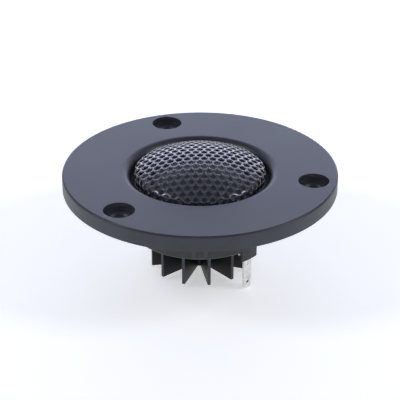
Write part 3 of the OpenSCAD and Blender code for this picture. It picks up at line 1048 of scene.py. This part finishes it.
class TWEETER_OT_motor(bpy.types.Operator):
    """Finish the steel, the magnet and the diaphragm's frame"""

    bl_idname = "tweeter.motor"
    bl_label = "Motor"

    def execute(self, context):
        s = context.scene.tweeter_motor
        rear = context.scene.tweeter_rear
        steel = plated_metal("Plated steel", tuple(s.steel), s.steel_roughness)
        dress(eased("yoke_cup", "yoke_steel", s.steel_edge), steel)
        dress(eased("pole_plate", "pole_steel", s.steel_edge), steel)
        nickel = plated_metal("Magnet nickel", tuple(s.nickel), s.nickel_roughness)
        dress(eased("magnet", "magnet_disc", s.magnet_edge), nickel)
        ring = eased("diaphragm_frame", "surround_frame", s.frame_edge)
        plastic = moulded_plastic(
            "Diaphragm frame plastic",
            tuple(rear.case_colour),
            rear.case_roughness,
            rear.case_grain,
        )
        dress(ring, plastic)
        return {"FINISHED"}


class TWEETER_OT_rear(bpy.types.Operator):
    """Finish the rear housing and the heatsink"""

    bl_idname = "tweeter.rear"
    bl_label = "Housing and heatsink"

    def execute(self, context):
        s = context.scene.tweeter_rear
        case = eased("chassis", "rear_housing", s.case_edge)
        plastic = moulded_plastic(
            "Housing plastic", tuple(s.case_colour), s.case_roughness, s.case_grain
        )
        dress(case, plastic)
        star = eased("heatsink", "heatsink_star", s.fin_edge)
        dye = anodised("Black anodised", tuple(s.fin_colour), s.fin_roughness)
        dress(star, dye)
        return {"FINISHED"}


class TWEETER_OT_terminals(bpy.types.Operator):
    """Finish the spade terminals and their wires, and make the solder"""

    bl_idname = "tweeter.terminals"
    bl_label = "Terminals"

    def execute(self, context):
        s = context.scene.tweeter_rear
        tin = plated_metal("Tinned brass", tuple(s.tin), s.tin_roughness, streak=0.1)
        bright = soldered("Solder", tuple(s.solder))
        for side, turn in SIDES.items():
            dress(eased(f"terminal_{side}", f"spade_{side}", s.spade_edge), tin)
            self.make_tail(side, turn + CHASSIS_TURN, tin)
            self.make_solder(side, bright)
        return {"FINISHED"}

    def make_tail(self, side, turn, tin):
        """The tinned wire from the coil's lead, past the motor and through the floor to the ear."""
        tail = wired(f"tail_wire_{side}", round_the_axis(TAIL_ROUTE, turn), TAIL_WIRE)
        dress(tail, tin)
        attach(tail, HOUSING)
        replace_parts(tail, f"tail_lead_{side}")

    def make_solder(self, side, bright):
        """A drop that hangs from the ear and climbs the wire."""
        low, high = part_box(f"solder_joint_{side}")
        middle, half = (low + high) / 2, (high.z - low.z) / 2
        outline = [(half * r, half * z) for r, z in SOLDER_OUTLINE]
        drop = turned(f"solder_{side}", outline, sides=20, closed=False)
        edit_open_edges(drop)
        bpy.ops.mesh.edge_face_add()
        bpy.ops.mesh.select_all(action="SELECT")
        bpy.ops.transform.translate(value=middle)
        bpy.ops.mesh.select_all(action="SELECT")
        bpy.ops.mesh.normals_make_consistent(inside=False)
        applied(drop, "SUBSURF", levels=1, render_levels=1)
        smoothed(drop, 60)
        dress(drop, bright)
        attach(drop, HOUSING)
        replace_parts(drop, f"solder_joint_{side}")


class TWEETER_OT_studio(bpy.types.Operator):
    """Make the floor, the lights and the camera"""

    bl_idname = "tweeter.studio"
    bl_label = "Studio"

    def execute(self, context):
        s = context.scene.tweeter_studio
        self.make_floor(s)
        self.make_lights(context, s)
        self.make_camera(context, s)
        return {"FINISHED"}

    def make_floor(self, s):
        """The light table, and a low wall of the same paint all round it."""
        deselect()
        floor_z = CAD_LOW.z - FLOOR_GAP
        bpy.ops.mesh.primitive_plane_add(size=FLOOR_SIZE, location=(0, 0, floor_z))
        floor = started("studio_floor")
        side = [(WALL_R, floor_z), (WALL_R, floor_z + WALL_HEIGHT)]
        wall = turned("studio_wall", side, closed=False)
        paint = painted_floor("Studio floor", tuple(s.floor), s.glow)
        for piece in (floor, wall):
            piece.data.materials.append(paint)

    def make_lights(self, context, s):
        world = bpy.data.worlds.new("Studio")
        world.use_nodes = True
        background = world.node_tree.nodes["Background"]
        background.inputs["Color"].default_value = (*SKY_COLOUR, 1.0)
        background.inputs["Strength"].default_value = s.sky
        context.scene.world = world
        aside = math.radians(SIDE_LIGHT_TURN)
        self.soft_light("back_light", s.azimuth + math.pi, s.key, **BACK_LIGHT)
        self.soft_light("left_light", s.azimuth - aside, s.sides, **SIDE_LIGHT)
        self.soft_light("right_light", s.azimuth + aside, s.sides, **SIDE_LIGHT)

    def soft_light(self, name, turn, power, height, size, colour):
        """An oblong soft light that faces the object."""
        lamp = bpy.data.lights.new(name, "AREA")
        lamp.shape = "RECTANGLE"
        lamp.size, lamp.size_y = size
        lamp.energy, lamp.color = power, colour
        stood(name, lamp, LIGHT_DISTANCE * away(turn, math.radians(height)), Vector())

    def make_camera(self, context, s):
        """A long lens that looks down at the faceplate, aimed a little below its front."""
        camera = bpy.data.cameras.new("Camera")
        camera.lens = s.focal
        camera.clip_start, camera.clip_end = 0.01, 20.0
        front = Vector((0, 0, CAD_HIGH.z - CROWN_TO_PLATE))
        aim = Vector((0, 0, front.z - PLATE_TO_AIM))
        place = front + away(s.azimuth, s.elevation) * s.distance
        context.scene.camera = stood("Camera", camera, place, aim)
        context.scene.view_settings.view_transform = "Standard"


class TWEETER_PT_panel(bpy.types.Panel):
    """The tweeter's pieces, in the order they are made"""

    bl_label = "Car tweeter"
    bl_idname = "TWEETER_PT_panel"
    bl_space_type = "VIEW_3D"
    bl_region_type = "UI"
    bl_category = "Tweeter"

    def draw(self, context):
        for operator in OPERATORS:
            self.layout.operator(operator.bl_idname)
        for name, group in SETTINGS.items():
            box = self.layout.box()
            for key in group.__annotations__:
                box.prop(getattr(context.scene, name), key)


OPERATORS = (
    TWEETER_OT_front,
    TWEETER_OT_diaphragm,
    TWEETER_OT_seals,
    TWEETER_OT_motor,
    TWEETER_OT_rear,
    TWEETER_OT_terminals,
    TWEETER_OT_studio,
)
SETTINGS = {
    "tweeter_front": FrontSettings,
    "tweeter_diaphragm": DiaphragmSettings,
    "tweeter_motor": MotorSettings,
    "tweeter_rear": RearSettings,
    "tweeter_studio": StudioSettings,
}


def register():
    """Registers the settings before the operators that read them."""
    for group in SETTINGS.values():
        bpy.utils.register_class(group)
    for name, group in SETTINGS.items():
        setattr(bpy.types.Scene, name, bpy.props.PointerProperty(type=group))
    for operator in OPERATORS:
        bpy.utils.register_class(operator)
    bpy.utils.register_class(TWEETER_PT_panel)


def unregister():
    """Takes everything away again, in the opposite order."""
    bpy.utils.unregister_class(TWEETER_PT_panel)
    for operator in reversed(OPERATORS):
        bpy.utils.unregister_class(operator)
    for name in SETTINGS:
        delattr(bpy.types.Scene, name)
    for group in reversed(SETTINGS.values()):
        bpy.utils.unregister_class(group)


def main():
    """Makes every piece and the studio."""
    register()
    bpy.ops.tweeter.front()
    bpy.ops.tweeter.diaphragm()
    bpy.ops.tweeter.seals()
    bpy.ops.tweeter.motor()
    bpy.ops.tweeter.rear()
    bpy.ops.tweeter.terminals()
    bpy.ops.tweeter.studio()


if __name__ == "__main__":
    main()
